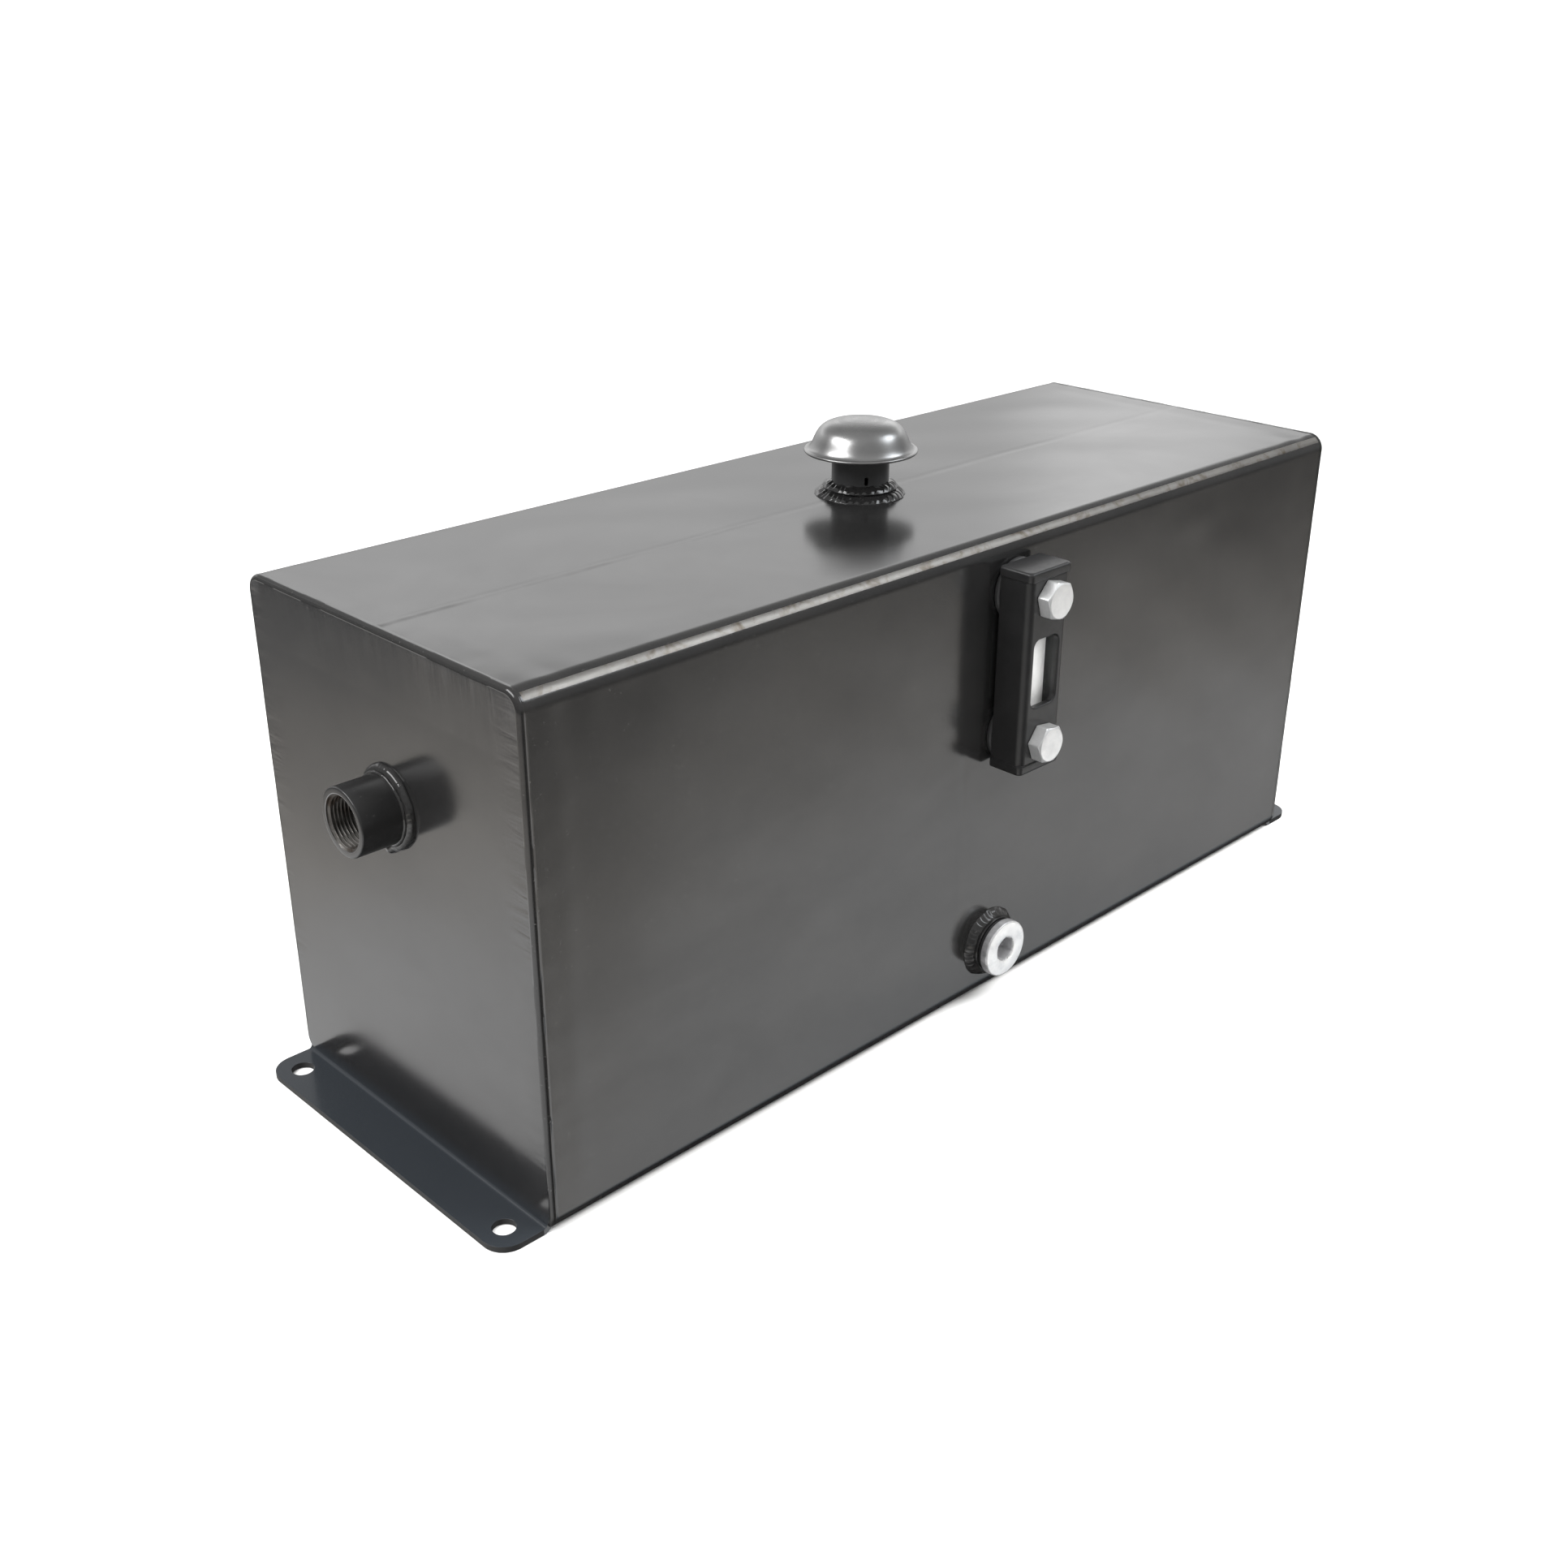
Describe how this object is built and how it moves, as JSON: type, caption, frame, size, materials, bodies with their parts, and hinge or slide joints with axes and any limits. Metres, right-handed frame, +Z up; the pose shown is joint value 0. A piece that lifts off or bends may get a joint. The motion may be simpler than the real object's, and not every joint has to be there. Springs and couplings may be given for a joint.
{
  "type": "hydraulic reservoir",
  "caption": "Welded box-shaped steel hydraulic oil tank on two bent-out feet, with filler breather, level gauge, drain plug and threaded end ports.",
  "frame": {"origin": "centre of the four foot holes, on the plane the feet stand on", "axes": "+X along the tank from the return end to the suction end, +Z up through the filler, gauge and drain on the -Y side"},
  "size_m": [0.642, 0.2379, 0.2995],
  "materials": {
    "tank_paint": "semi-gloss black paint on bent sheet steel",
    "end_paint": "semi-gloss black paint on flat sheet steel",
    "weld_paint": "black paint over weld bead",
    "socket_paint": "black paint outside, bare oiled thread inside",
    "inside_steel": "bare pickled sheet steel, oiled",
    "inside_weld": "bare weld metal",
    "gasket_rubber": "black nitrile",
    "seal_rubber": "black nitrile",
    "breather_plate": "bright plated pressing",
    "breather_steel": "zinc-plated steel",
    "filter_foam": "open-cell filter foam",
    "gauge_black": "black glass-filled nylon, glossy",
    "sight_clear": "clear moulded sight glass",
    "reflector_white": "white strip",
    "zinc_bolt": "bright zinc plate",
    "zinc_plug": "bright zinc plate",
    "strainer_steel": "galvanised steel",
    "strainer_gauze": "woven stainless gauze"
  },
  "bodies": {
    "tank": {"tank_wrap": "tank_paint", "left_end_plate": "end_paint", "right_end_plate": "end_paint", "left_end_weld": "weld_paint", "right_end_weld": "weld_paint", "top_seam_weld": "weld_paint", "baffle_plate": "inside_steel", "baffle_tacks": "inside_weld", "filler_neck": "socket_paint", "filler_neck_weld": "weld_paint", "gauge_housing": "gauge_black", "gauge_sight_glass": "sight_clear", "gauge_reflector": "reflector_white", "gauge_bolt_upper": "zinc_bolt", "gauge_bolt_lower": "zinc_bolt", "gauge_head_seal_upper": "seal_rubber", "gauge_head_seal_lower": "seal_rubber", "gauge_seal_upper": "seal_rubber", "gauge_seal_lower": "seal_rubber", "gauge_washer_upper": "zinc_bolt", "gauge_washer_lower": "zinc_bolt", "gauge_nut_upper": "zinc_bolt", "gauge_nut_lower": "zinc_bolt", "drain_boss": "socket_paint", "drain_boss_weld": "weld_paint", "return_socket": "socket_paint", "suction_socket": "socket_paint", "return_socket_weld": "weld_paint", "suction_socket_weld": "weld_paint", "strainer_hub": "strainer_steel", "strainer_core": "strainer_steel", "strainer_mesh": "strainer_gauze", "strainer_end": "strainer_steel"},
    "breather_seal": {"breather_gasket": "gasket_rubber"},
    "breather": {"breather_cap": "breather_plate", "breather_base": "breather_steel", "breather_element": "filter_foam", "breather_stem": "breather_steel"},
    "drain_ring": {"drain_seal": "seal_rubber"},
    "plug": {"drain_plug": "zinc_plug"}
  },
  "joints": [
    {"name": "breather_turn", "type": "hinge", "parent": "tank", "child": "breather_seal", "pos_m": [0.004, 0, 0.286], "axis": [0, 0, 1], "range_deg": [0, 2520]},
    {"name": "breather_rise", "type": "slide", "parent": "breather_seal", "child": "breather", "axis": [0, 0, 1], "range_m": [0, 0.0128]},
    {"name": "drain_turn", "type": "hinge", "parent": "tank", "child": "drain_ring", "pos_m": [0.0018, -0.11, 0.0325], "axis": [0, -1, 0], "range_deg": [0, 2700]},
    {"name": "drain_travel", "type": "slide", "parent": "drain_ring", "child": "plug", "axis": [0, -1, 0], "range_m": [0, 0.0137]}
  ],
  "couplings": [
    {"joint": "breather_rise", "follows": "breather_turn", "m_per_rad": 0.00028875},
    {"joint": "drain_travel", "follows": "drain_turn", "m_per_rad": 0.00028875}
  ]
}
